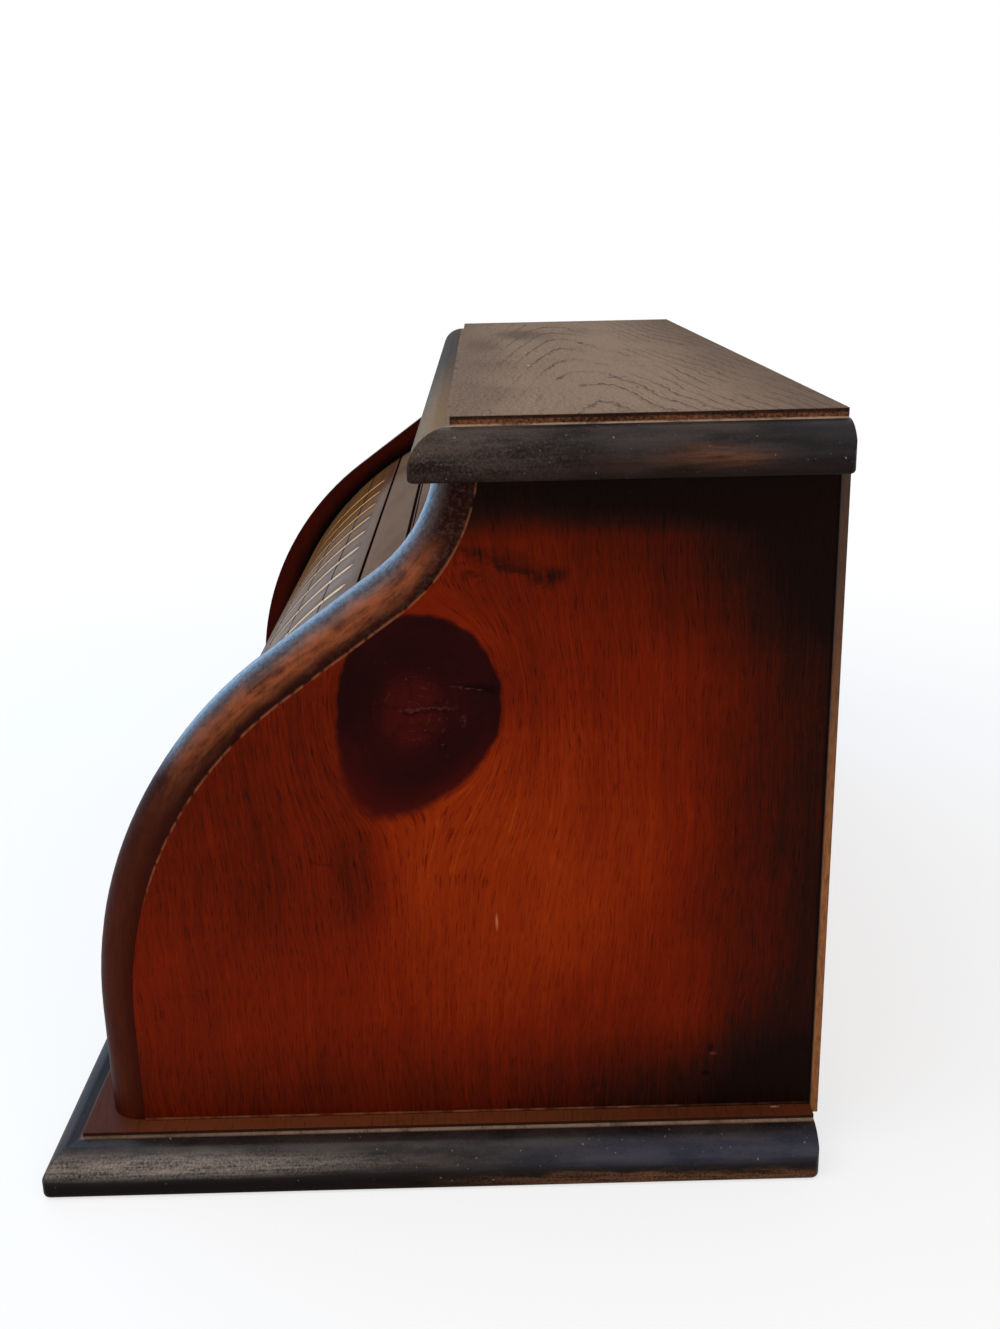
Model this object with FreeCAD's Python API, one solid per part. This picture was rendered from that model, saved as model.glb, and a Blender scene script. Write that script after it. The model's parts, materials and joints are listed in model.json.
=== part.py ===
import FreeCAD, Part
import math
import os

# A box for papers with a tambour lid. Millimetres, +X along the box, -Y the front, +Z up.
# The origin is the middle of the base's underside.

# Case
case_width = 444.0            # over the two side panels
case_depth = 280.0            # the base, front to back
panel_thick = 18.0
panel_height = 237.3
base_thick = 18.2
cap_thick = 18.9
back_thick = 3.0              # plywood, laid on behind the ends
back_lap = 3.5                # down over the base's back edge
router_r = 12.7               # one quarter-round bit for the base, the cap and the panels

# Base and cap mouldings
base_end_reveal = 6.6         # field of the base beyond a side panel
base_front_reveal = 7.1
base_step = 1.7
base_ledge = 0.4
base_ease = 3.0
cap_end_overhang = 19.1
cap_front_overhang = 7.7
cap_step = 3.0
cap_ledge = 0.8
cap_ease = 0.6

# S-curve of the side panels' front edge
shoulder_height = 42.1        # upright front, above the base
belly_r = 162.1
slope_deg = 35.84             # rise of the straight between the two arcs
straight_length = 49.8
neck_r = 50.9
panel_step = 0.8
panel_ledge = 1.6

# Track and tambour
track_inset = 12.7            # tambour's face behind the panel's front edge
track_flatten = 5.9           # the track's radius over the belly's
track_drop = 7.3              # the track's centre under the belly's
track_depth = 6.0
slat_thick = 8.0
slat_pitch = 20.5
slat_count = 9
leader_slats = 6              # slats that move as one with the lift rail
top_slat_width = 22.3
last_slat_width = 20.5
lift_rail_width = 22.3
canvas_thick = 1.0
canvas_margin = 18.0          # bare slat end beside the canvas
canvas_lap = 13.4             # glued up the lift rail
hairline = 0.3                # between slats
open_joint = 0.8              # either side of the top slat
run_clear = 0.6               # slats to the track's walls
end_clear = 0.5               # slat ends to the track's floor
seat_clear = 0.3              # lift rail over the base

# Lift rail and knob
rail_proud = 6.0
rail_end_clear = 1.0
rail_round = 2.5
knob_r = 9.0
knob_neck_r = 4.5
knob_flat_r = 2.0
knob_length = 15.5
knob_neck_length = 5.0
knob_foot_rim = 1.5           # bead at the foot
knob_rise = 11.5              # knob's axis above the base

# Inside
tail_room = 44.0              # between the false back and the back, for the rolled slats
inner_back_thick = 6.0
inner_back_height = 125.8
lining_start_deg = 148.0      # where the lining leaves the track
lining_crown_front = 45.0     # its highest point in front of the track's centre
lining_crown_rise = 131.0     # and above it
header_thick = 14.0
header_setback = 2.0
header_gap = 1.0              # over the slats that run under it
cleat_size = 15.0
cleat_inset = 7.0             # cleat's ends from the header and the back

# Screws and nails: head radius, head height, shank radius, shank length
base_screw = (4.0, 2.6, 2.0, 36.0)
cleat_screw = (3.6, 2.2, 1.8, 24.0)
track_screw = (3.0, 1.6, 1.5, 12.0)
knob_screw = (3.6, 2.2, 1.8, 21.0)
nail = (1.6, 0.8, 0.7, 14.0)
head_sink = 0.4
slot_width = 0.9
hole_clear = 0.1
base_screw_count = 3
base_screw_margin = 30.0
cleat_screw_count = 2
cleat_screw_margin = 16.0
nail_count = 5
nail_margin = 20.0
track_screw_inset = 50.0      # from the lining's front and back

# Worked out from the sizes above
half_width = case_width / 2
half_depth = case_depth / 2
panel_in = half_width - panel_thick
groove_x = panel_in + track_depth
panel_top = base_thick + panel_height
cap_top = panel_top + cap_thick
panel_front = -half_depth + router_r + base_ledge + base_front_reveal
panel_back = half_depth
back_face = panel_back + back_thick
edge_band = panel_ledge + router_r
belly_y = panel_front + belly_r
belly_z = base_thick + shoulder_height
slope = math.radians(slope_deg)
track_r = belly_r + track_flatten
track_y = panel_front + track_inset + track_r
track_z = belly_z - track_drop
slat_in_r = track_r - slat_thick
canvas_r = slat_in_r - canvas_thick
slat_x = groove_x - end_clear
canvas_x = panel_in - canvas_margin
rest_z = base_thick + seat_clear
inner_back_end = panel_back - tail_room
inner_back_y = inner_back_end - inner_back_thick


def at(x, y, z):
    return FreeCAD.Vector(x, y, z)


def line(a, b):
    return Part.LineSegment(a, b).toShape()


def arc(a, b, c):
    return Part.Arc(a, b, c).toShape()


def box(x0, x1, y0, y1, z0, z1):
    return Part.makeBox(x1 - x0, y1 - y0, z1 - z0, at(x0, y0, z0))


def prism(edges, push):
    return Part.Face(Part.Wire(edges)).extrude(push)


def mirrored(shape):
    return shape.mirror(at(0, 0, 0), at(1, 0, 0))


# A point of the track's circle, with 0 degrees at the back and 180 at the front
def on_track(radius, degrees, x):
    angle = math.radians(degrees)
    return at(x, track_y + radius * math.cos(angle), track_z + radius * math.sin(angle))


def track_angle(length):
    return math.degrees(length / track_r)


# Moulded edge from the rim of the raised field down to the underside
def moulding(place, rim, side, top, bottom, step, ledge, ease):
    z_round = top - step
    u_round = rim + side * ledge
    u_out = u_round + side * router_r
    bend = router_r * math.sqrt(0.5)
    start = place(u_round, z_round)
    middle = place(u_round + side * bend, z_round - router_r + bend)
    end = place(u_out, z_round - router_r)
    corner = place(u_out, bottom + ease)
    return [line(place(rim, top), place(rim, z_round)), line(place(rim, z_round), start),
            arc(start, middle, end), line(end, corner), line(corner, place(u_out - side * ease, bottom))]


# Board with the moulding on its front and both ends, mitred at the corners
def moulded_board(field_x, field_front, back, top, bottom, step, ledge, ease):
    def end_place(u, z):
        return at(u, back, z)

    def front_place(u, z):
        return at(-2 * field_x, u, z)

    under = field_x + ledge + router_r - ease
    right = moulding(end_place, field_x, 1, top, bottom, step, ledge, ease)
    left = moulding(end_place, -field_x, -1, top, bottom, step, ledge, ease)
    joins = [line(end_place(-field_x, top), end_place(field_x, top)),
             line(end_place(-under, bottom), end_place(under, bottom))]
    ends = prism(Part.sortEdges(right + left + joins)[0], at(0, 3 * (field_front - back), 0))
    front = moulding(front_place, field_front, -1, top, bottom, step, ledge, ease)
    under_front = front_place(field_front - ledge - router_r + ease, bottom)
    closing = [line(front_place(field_front, top), front_place(back, top)),
               line(front_place(back, top), front_place(back, bottom)),
               line(front_place(back, bottom), under_front)]
    fronts = prism(Part.sortEdges(front + closing)[0], at(4 * field_x, 0, 0))
    return ends.common(fronts)


# S-curved sheet in the YZ plane, set in from the panel's edge, between two X positions
def curved_sheet(inset, x0, x1):
    radius = belly_r - inset
    turn = math.pi / 2 - slope
    front = panel_front + inset
    over = panel_top + panel_height
    hip_y, hip_z = belly_y - belly_r * math.cos(turn), belly_z + belly_r * math.sin(turn)
    end_y = hip_y + straight_length * math.cos(slope)
    end_z = hip_z + straight_length * math.sin(slope)
    neck_y, neck_z = end_y - neck_r * math.sin(slope), end_z + neck_r * math.cos(slope)
    wide = neck_r + inset

    def belly(angle):
        return at(x0, belly_y - radius * math.cos(angle), belly_z + radius * math.sin(angle))

    def neck(angle):
        return at(x0, neck_y + wide * math.sin(angle), neck_z - wide * math.cos(angle))

    upright = neck(math.pi / 2)
    corners = [at(x0, upright.y, over), at(x0, panel_back, over),
               at(x0, panel_back, base_thick), at(x0, front, base_thick), belly(0)]
    edges = [arc(belly(0), belly(turn / 2), belly(turn)), line(belly(turn), neck(slope)),
             arc(neck(slope), neck((slope + math.pi / 2) / 2), upright), line(upright, corners[0])]
    edges += [line(a, b) for a, b in zip(corners, corners[1:])]
    sheet = prism(edges, at(x1 - x0, 0, 0))
    keep = box(x0, x1, -case_depth, case_depth, base_thick, panel_top)
    return sheet.common(keep), upright.y


def rim_edges(shape, x):
    found = []
    for edge in shape.Edges:
        middle = edge.valueAt((edge.FirstParameter + edge.LastParameter) / 2)
        level = min(abs(middle.z - base_thick), abs(middle.z - panel_top))
        if abs(middle.x - x) < 0.01 and level > 0.01 and abs(middle.y - panel_back) > 0.01:
            if abs(edge.BoundBox.XLength) < 0.01:
                found.append(edge)
    return found


def track_disc(radius, x0, x1):
    return Part.makeCylinder(radius, x1 - x0, at(x0, track_y, track_z), at(1, 0, 0))


def side_panel():
    rim_x = half_width - panel_step
    body, edge_y = curved_sheet(0, panel_in, rim_x)
    body = body.makeFillet(router_r, rim_edges(body, rim_x))
    field = curved_sheet(edge_band, rim_x, half_width)[0]
    pocket = track_disc(track_r + run_clear, panel_in, groove_x)
    return body.fuse(field).removeSplitter().cut(pocket), edge_y


# Lining inside a side panel: the track's inner wall in front, a low crown above, cut off at the inner back
def track_board():
    radius = slat_in_r - run_clear
    low = 180 + math.degrees(math.asin((track_z - base_thick) / radius))
    foot = on_track(radius, low, panel_in)
    leave = on_track(radius, lining_start_deg, panel_in)
    crown = at(panel_in, track_y - lining_crown_front, track_z + lining_crown_rise)
    shoulder = at(panel_in, inner_back_end, base_thick + inner_back_height)
    heel = at(panel_in, inner_back_end, base_thick)
    middle = on_track(radius, (low + lining_start_deg) / 2, panel_in)
    edges = [arc(foot, middle, leave), arc(leave, crown, shoulder), line(shoulder, heel), line(heel, foot)]
    return prism(edges, at(track_depth, 0, 0))


# Part of the ring about the track's centre, from one angle to a larger one
def ring(inner, outer, low, high, half):
    def point(radius, degrees):
        return on_track(radius, degrees, -half)

    middle = (low + high) / 2
    edges = [arc(point(outer, low), point(outer, middle), point(outer, high)),
             line(point(outer, high), point(inner, high)),
             arc(point(inner, high), point(inner, middle), point(inner, low)),
             line(point(inner, low), point(outer, low))]
    return prism(edges, at(2 * half, 0, 0))


# Screw or nail with its head's top at the origin and its shank along -Z
def fastener(sizes, grown, slotted):
    head_r, head_h, shank_r, shank_l = sizes
    head = Part.makeCylinder(head_r + grown, head_h, at(0, 0, -head_h))
    shank = Part.makeCylinder(shank_r + grown, shank_l + grown, at(0, 0, -head_h), at(0, 0, -1))
    shape = head.fuse(shank)
    if slotted:
        shape = shape.cut(box(-2 * head_r, 2 * head_r, -slot_width / 2, slot_width / 2, -slot_width, 1))
    return shape


def well(sizes, sink):
    return Part.makeCylinder(sizes[0] + hole_clear, sink + 1, at(0, 0, -0.01))


# Puts a shape made at the origin where it belongs, with its +Z along the given direction
def placed(shape, point, facing):
    moved = shape.copy()
    turn = FreeCAD.Rotation(at(0, 0, 1), facing)
    moved.Placement = FreeCAD.Placement(point, turn).multiply(moved.Placement)
    return moved


# Drives one screw or nail into the boards, and returns it
def fasten(sizes, point, facing, sink, boards):
    top = point - facing * sink
    hole = placed(fastener(sizes, hole_clear, False).fuse(well(sizes, sink)), top, facing)
    for board in boards:
        nodes[board] = nodes[board].cut(hole)
    return placed(fastener(sizes, 0, sizes is not nail), top, facing)


def spread(count, low, high):
    return [low + (high - low) * i / max(count - 1, 1) for i in range(count)]


# Turned knob along +Z from its foot at the origin: a bead, a hollow neck and a flattened ball
def turned_knob():
    ball = knob_length - knob_neck_length
    foot_r = knob_neck_r + knob_foot_rim
    foot = [at(0, 0, 0), at(foot_r, 0, 0), at(foot_r, 0, knob_foot_rim)]
    neck = at(knob_neck_r, 0, (knob_foot_rim + knob_neck_length) / 2)
    waist = at(knob_neck_r + knob_foot_rim / 2, 0, knob_neck_length)
    lower = at(knob_r * 0.88, 0, knob_neck_length + ball * 0.14)
    wide = at(knob_r, 0, knob_neck_length + ball * 0.45)
    upper = at(knob_r * 0.72, 0, knob_neck_length + ball * 0.86)
    tip = at(knob_flat_r, 0, knob_length)
    end = at(0, 0, knob_length)
    edges = [line(foot[0], foot[1]), line(foot[1], foot[2]), arc(foot[2], neck, waist),
             arc(waist, lower, wide), arc(wide, upper, tip), line(tip, end), line(end, foot[0])]
    return Part.Face(Part.Wire(edges)).revolve(at(0, 0, 0), at(0, 0, 1), 360)


# Bottom rail between two angles, cut off level over the base: tongues in the track, a proud middle
def lift_rail(seat, top):
    floor = box(-case_width, case_width, -case_depth, case_depth, rest_z, cap_top)
    low = seat + track_angle(rail_proud)
    tongue = ring(slat_in_r, track_r, top, low, slat_x)
    proud_x = panel_in - rail_end_clear
    proud = ring(slat_in_r, track_r + rail_proud, top, low, proud_x).common(floor)
    front = [edge for edge in proud.Edges if edge.BoundBox.XLength > proud_x
             and (edge.CenterOfMass.y - track_y) ** 2 + (edge.CenterOfMass.z - track_z) ** 2 > track_r ** 2]
    proud = proud.makeFillet(rail_round, front)
    return tongue.common(floor).fuse(proud).removeSplitter()


nodes = {}

# Base and cap
base_field_x = half_width + base_end_reveal
base_field_front = panel_front - base_front_reveal
nodes["base_board"] = moulded_board(base_field_x, base_field_front, half_depth, base_thick, 0,
                                    base_step, base_ledge, base_ease)
right_panel, neck_front = side_panel()
cap_field_x = half_width + cap_end_overhang - router_r - cap_ledge
cap_field_front = neck_front - cap_front_overhang + router_r + cap_ledge
nodes["top_cap"] = moulded_board(cap_field_x, cap_field_front, half_depth, cap_top, panel_top,
                                 cap_step, cap_ledge, cap_ease)

# Ends and their linings
nodes["side_panel_right"] = right_panel
nodes["side_panel_left"] = mirrored(right_panel)
nodes["track_board_right"] = track_board()
nodes["track_board_left"] = mirrored(nodes["track_board_right"])

# Back, false back, header and cleats
header_front = neck_front + header_setback
header_back = header_front + header_thick
cleat_front = header_back + cleat_inset
cleat_back = panel_back - cleat_inset
nodes["back_panel"] = box(-half_width, half_width, panel_back, back_face,
                          base_thick - back_lap, panel_top)
nodes["inner_back"] = box(-panel_in, panel_in, inner_back_y, inner_back_end,
                          base_thick, base_thick + inner_back_height)
header = box(-panel_in, panel_in, header_front, header_back, track_z, panel_top)
nodes["header_rail"] = header.cut(track_disc(track_r + header_gap, -panel_in, panel_in))
nodes["cap_cleat_right"] = box(panel_in - cleat_size, panel_in, cleat_front, cleat_back,
                               panel_top - cleat_size, panel_top)
nodes["cap_cleat_left"] = mirrored(nodes["cap_cleat_right"])

# Screws up through the base into the ends
down = at(0, 0, -1)
web_x = (groove_x + half_width) / 2
track_screw_front = track_y - slat_in_r + track_screw_inset
track_screw_back = inner_back_y - track_screw_inset
ends = ((1, "right"), (-1, "left"))
screws = []
for side, end in ends:
    for y in spread(base_screw_count, panel_front + base_screw_margin, panel_back - base_screw_margin):
        screws.append(fasten(base_screw, at(side * web_x, y, 0), down, head_sink,
                             ["base_board", "side_panel_" + end]))
nodes["base_screws"] = Part.makeCompound(screws)

# Screws up through the cleats into the cap
screws = []
for side, end in ends:
    x = side * (panel_in - cleat_size / 2)
    for y in spread(cleat_screw_count, cleat_front + cleat_screw_margin, cleat_back - cleat_screw_margin):
        screws.append(fasten(cleat_screw, at(x, y, panel_top - cleat_size), down, head_sink,
                             ["cap_cleat_" + end, "top_cap"]))
nodes["cleat_screws"] = Part.makeCompound(screws)

# Screws through the linings into the ends
screws = []
for side, end in ends:
    for y in (track_screw_front, track_screw_back):
        point = at(side * panel_in, y, base_thick + inner_back_height / 2)
        screws.append(fasten(track_screw, point, at(-side, 0, 0), head_sink,
                             ["track_board_" + end, "side_panel_" + end]))
nodes["track_screws"] = Part.makeCompound(screws)

# Nails through the back, flush with it
nails = []
for side, end in ends:
    for z in spread(nail_count, base_thick + nail_margin, panel_top - nail_margin):
        nails.append(fasten(nail, at(side * web_x, back_face, z), at(0, 1, 0), 0,
                            ["back_panel", "side_panel_" + end]))
nodes["back_nails"] = Part.makeCompound(nails)

# Tambour from the lift rail up: the angles fall towards the back
seat_angle = 180 + math.degrees(math.asin((track_z - rest_z) / track_r))
half_hair = track_angle(hairline) / 2
half_open = track_angle(open_joint) / 2
widths = [slat_pitch] * slat_count + [top_slat_width, last_slat_width]
joints = [seat_angle - track_angle(lift_rail_width)]
for width in widths:
    joints.append(joints[-1] - track_angle(width))
nodes["lift_rail"] = lift_rail(seat_angle, joints[0])
for index in range(len(widths)):
    below = half_open if index in (slat_count, slat_count + 1) else half_hair
    above = half_open if index in (slat_count - 1, slat_count) else half_hair
    if index == 0:
        below += half_hair
    nodes[f"slat_{index + 1:02d}"] = ring(slat_in_r, track_r, joints[index + 1] + above,
                                          joints[index] - below, slat_x)

# Canvas: one sheet behind the slats that keep together, then a piece for each slat that bends away
glued = track_angle(canvas_lap)
nodes["canvas_main"] = ring(canvas_r, slat_in_r, joints[leader_slats] + half_hair, joints[0] + glued, canvas_x)
for index in range(leader_slats, slat_count + 1):
    end = len(widths) if index == slat_count else index + 1
    nodes[f"canvas_{index + 1:02d}"] = ring(canvas_r, slat_in_r, joints[end] + half_hair,
                                            joints[index] - half_hair, canvas_x)

# Knob on the lift rail, its screw from inside
knob_angle = 180 + math.degrees(math.asin((track_z - base_thick - knob_rise) / (track_r + rail_proud)))
radial = on_track(1, knob_angle, 0) - on_track(0, knob_angle, 0)
nodes["knob"] = placed(turned_knob(), on_track(track_r + rail_proud, knob_angle, 0), radial)
nodes["knob_screw"] = fasten(knob_screw, on_track(slat_in_r, knob_angle, 0), radial * -1, head_sink,
                             ["lift_rail", "knob", "canvas_main"])

os.makedirs("parts", exist_ok=True)
for name, shape in nodes.items():
    shape.exportStep("parts/" + name + ".step")
    print(name, len(shape.Solids), round(shape.Volume), shape.isValid())
print("track centre", round(track_y, 3), round(track_z, 3), "radius", track_r, "canvas", canvas_r)
print("joints", [round(value, 3) for value in joints])
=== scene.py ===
import json
import math
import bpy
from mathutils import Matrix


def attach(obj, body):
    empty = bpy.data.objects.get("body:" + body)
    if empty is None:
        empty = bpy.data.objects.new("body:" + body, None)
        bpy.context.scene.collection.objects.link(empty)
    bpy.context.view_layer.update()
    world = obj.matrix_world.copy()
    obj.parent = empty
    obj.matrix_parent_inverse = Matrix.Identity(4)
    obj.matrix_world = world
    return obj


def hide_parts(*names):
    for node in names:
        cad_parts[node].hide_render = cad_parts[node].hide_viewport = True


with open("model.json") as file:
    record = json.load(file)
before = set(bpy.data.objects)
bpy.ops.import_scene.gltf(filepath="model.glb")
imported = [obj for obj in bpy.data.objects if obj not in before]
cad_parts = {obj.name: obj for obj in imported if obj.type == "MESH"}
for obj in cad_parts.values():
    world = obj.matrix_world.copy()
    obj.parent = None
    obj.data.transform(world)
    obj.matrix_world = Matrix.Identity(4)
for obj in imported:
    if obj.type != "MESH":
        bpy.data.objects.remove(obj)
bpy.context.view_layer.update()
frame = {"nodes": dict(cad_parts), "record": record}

from types import SimpleNamespace

import bpy
from mathutils import Vector

cadNodes = frame["nodes"]


# shader maths: a Wire is one socket, and a sum on Wires adds its Math nodes
def maths(operation, turned=False):  # a Wire method that adds one Math node
    return lambda wire, other=0.0: wire.work(operation, other, turned)


class Wire:
    def __init__(self, finish, socket):
        self.finish = finish
        self.socket = socket

    def work(self, operation, other, turned):
        first, second = (other, self) if turned else (self, other)
        return self.finish.add("ShaderNodeMath", {"operation": operation}, {0: first, 1: second})

    __add__ = maths("ADD")
    __radd__ = maths("ADD", True)
    __sub__ = maths("SUBTRACT")
    __rsub__ = maths("SUBTRACT", True)
    __mul__ = maths("MULTIPLY")
    __rmul__ = maths("MULTIPLY", True)
    __truediv__ = maths("DIVIDE")
    __rtruediv__ = maths("DIVIDE", True)
    __gt__ = maths("GREATER_THAN")
    __lt__ = maths("LESS_THAN")
    __abs__ = maths("ABSOLUTE")
    atMost = maths("MINIMUM")
    atLeast = maths("MAXIMUM")
    floor = maths("FLOOR")
    fraction = maths("FRACT")
    remainder = maths("MODULO")
    sine = maths("SINE")


def tone(code):  # a paint colour written as rrggbb
    parts = [int(code[i:i + 2], 16) / 255 for i in (0, 2, 4)]
    linear = [p / 12.92 if p <= 0.04045 else ((p + 0.055) / 1.055) ** 2.4 for p in parts]
    return (*linear, 1.0)


class Finish:
    def __init__(self, name):
        self.material = bpy.data.materials.new(name)
        self.material.use_nodes = True
        self.tree = self.material.node_tree
        self.tree.nodes.clear()

    def add(self, kind, settings=None, inputs=None, output=0):
        node = self.tree.nodes.new(kind)
        for key, value in (settings or {}).items():
            if key == "stops":
                self.setStops(node.color_ramp, value)
            else:
                setattr(node, key, value)
        for key, value in (inputs or {}).items():
            if isinstance(value, Wire):
                self.tree.links.new(value.socket, node.inputs[key])
            else:
                node.inputs[key].default_value = tone(value) if isinstance(value, str) else value
        return Wire(self, node.outputs[output]) if node.outputs else None

    def setStops(self, ramp, stops):
        while len(ramp.elements) < len(stops):
            ramp.elements.new(1.0)
        for element, (place, code) in zip(ramp.elements, stops):
            element.position = place
            element.color = tone(code)

    def place(self):  # x, y and z in millimetres in the box's own frame
        spot = self.add("ShaderNodeTexCoord", output="Object")
        spot = self.add("ShaderNodeVectorMath", {"operation": "SCALE"}, {0: spot, "Scale": 1000.0})
        apart = self.add("ShaderNodeSeparateXYZ", inputs={0: spot})
        return [Wire(self, socket) for socket in apart.socket.node.outputs]

    def join(self, x=0.0, y=0.0, z=0.0):
        return self.add("ShaderNodeCombineXYZ", inputs={0: x, 1: y, 2: z})

    def length(self, x, y, z=0.0):
        return self.add("ShaderNodeVectorMath", {"operation": "LENGTH"}, {0: self.join(x, y, z)}, "Value")

    def bearing(self, along, up):  # the angle of a spot about an axis, in radians
        return self.add("ShaderNodeMath", {"operation": "ARCTAN2"}, {0: up, 1: along})

    def noise(self, x, y, z=0.0, detail=2.0, roughness=0.5):
        settings = {"Vector": self.join(x, y, z), "Scale": 1.0, "Detail": detail, "Roughness": roughness}
        return self.add("ShaderNodeTexNoise", {}, settings)

    def sway(self, *noise):  # a noise to both sides of 0
        return self.noise(*noise) - 0.5

    def fade(self, value, low, high, start=0.0, end=1.0):  # a soft step from start to end
        ends = {"Value": value, "From Min": low, "From Max": high, "To Min": start, "To Max": end}
        return self.add("ShaderNodeMapRange", {"interpolation_type": "SMOOTHSTEP"}, ends)

    def near(self, value, outer, inner):  # 1 where the value is within inner of 0, and 0 past outer
        return self.fade(abs(value), outer, inner)

    def choose(self, share, first, second):  # numbers: first at 0, second at 1
        return self.add("ShaderNodeMix", {"data_type": "FLOAT"}, {0: share, 2: first, 3: second})

    def paint(self, share, under, over):  # colours, as wires or rrggbb: over laid on under
        sides = {0: share, 6: under, 7: over}
        return self.add("ShaderNodeMix", {"data_type": "RGBA"}, sides, 2)

    def ramp(self, value, stops):
        return self.add("ShaderNodeValToRGB", {"stops": stops}, {0: value})

    def patch(self, x, y, middle, reach):  # 1 in the middle of an oval, fading to 0 at its rim
        far = self.length((x - middle[0]) / reach[0], (y - middle[1]) / reach[1])
        return self.fade(far, 1.0, 0.15)

    def surface(self, colour, roughness, height=None, lift=0.0002, **fixed):
        inputs = {"Base Color": colour, "Roughness": roughness}
        inputs.update({key.replace("_", " "): value for key, value in fixed.items()})
        if height is not None:
            bump = {"Strength": 1.0, "Distance": lift, "Height": height}
            inputs["Normal"] = self.add("ShaderNodeBump", {}, bump)
        shader = self.add("ShaderNodeBsdfPrincipled", {}, inputs)
        self.add("ShaderNodeOutputMaterial", {}, {"Surface": shader})
        return self.material


def coat(piece, material):
    piece.data.materials.clear()
    piece.data.materials.append(material)


def wear(material, *names):  # a finish onto CAD nodes
    for name in names:
        coat(cadNodes[name], material)


touching = 0.00001  # metres: spots this close are one
smoothAngle = math.radians(28)


def newObject(name, data):
    made = bpy.data.objects.new(name, data)
    bpy.context.scene.collection.objects.link(made)
    return made


def setMode(mode):
    bpy.ops.object.mode_set(mode=mode)


def clearSelection():
    if bpy.context.object and bpy.context.object.mode != "OBJECT":
        setMode("OBJECT")
    bpy.ops.object.select_all(action="DESELECT")


def choose(piece):
    clearSelection()
    piece.select_set(True)
    bpy.context.view_layer.objects.active = piece


def pick(piece, kind, parts, test):  # selects the vertices, edges or faces that pass the test, in edit mode
    choose(piece)
    bpy.context.tool_settings.mesh_select_mode = [kind == each for each in ("VERT", "EDGE", "FACE")]
    setMode("EDIT")
    bpy.ops.mesh.select_all(action="DESELECT")
    setMode("OBJECT")
    for part in parts:
        part.select = test(part)
    setMode("EDIT")


def openAll(piece):  # edit mode with all of the piece selected
    choose(piece)
    setMode("EDIT")
    bpy.ops.mesh.select_all(action="SELECT")


def copyOf(name, newName):  # a CAD node's mesh as a piece of its own, its loose triangles merged
    piece = newObject(newName, cadNodes[name].data.copy())
    openAll(piece)
    bpy.ops.mesh.remove_doubles(threshold=touching)
    setMode("OBJECT")
    bpy.ops.mesh.customdata_custom_splitnormals_clear()
    return piece


def carve(piece, tool, operation):  # the tool is cut out of the piece, or what lies outside it is cut off
    cut = piece.modifiers.new("carve", "BOOLEAN")
    cut.operation = operation
    cut.solver = "EXACT"
    cut.object = tool
    choose(piece)
    bpy.ops.object.modifier_apply(modifier="carve")
    bpy.ops.object.shade_smooth_by_angle(angle=smoothAngle)


bodyOf = {}
for body, carried in frame["record"]["behaviour"]["bodies"].items():
    bodyOf.update({node: body for node in carried})


# end panels: the curved front edge, followed in millimetres from the box's own frame
sweep = {"front": -119.8, "shoulder": 60.3, "belly": 162.1, "slope": 35.84, "straight": 49.8, "neck": 50.9}
track = {"y": 60.9, "z": 53.0}  # the axis that the tambour rolls about


def edgeDistance(finish, y, z):  # how far a spot lies in from the panel's curved edge
    lean = math.radians(sweep["slope"])
    along = (math.cos(lean), math.sin(lean))
    out = (-math.sin(lean), math.cos(lean))
    bellyY, bellyZ = sweep["front"] + sweep["belly"], sweep["shoulder"]
    startY, startZ = bellyY + sweep["belly"] * out[0], bellyZ + sweep["belly"] * out[1]
    endY, endZ = startY + sweep["straight"] * along[0], startZ + sweep["straight"] * along[1]
    neckY, neckZ = endY + sweep["neck"] * out[0], endZ + sweep["neck"] * out[1]
    belly = sweep["belly"] - finish.length(y - bellyY, z - bellyZ)
    straight = (y - startY) * -out[0] + (z - startZ) * -out[1]
    neck = finish.length(y - neckY, z - neckZ) - sweep["neck"]
    run = (y - startY) * along[0] + (z - startZ) * along[1]
    upper = finish.choose(run > 0.0, belly, straight)
    upper = finish.choose(run > sweep["straight"], upper, neck)
    return finish.choose(z > sweep["shoulder"], y - sweep["front"], upper)


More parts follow.
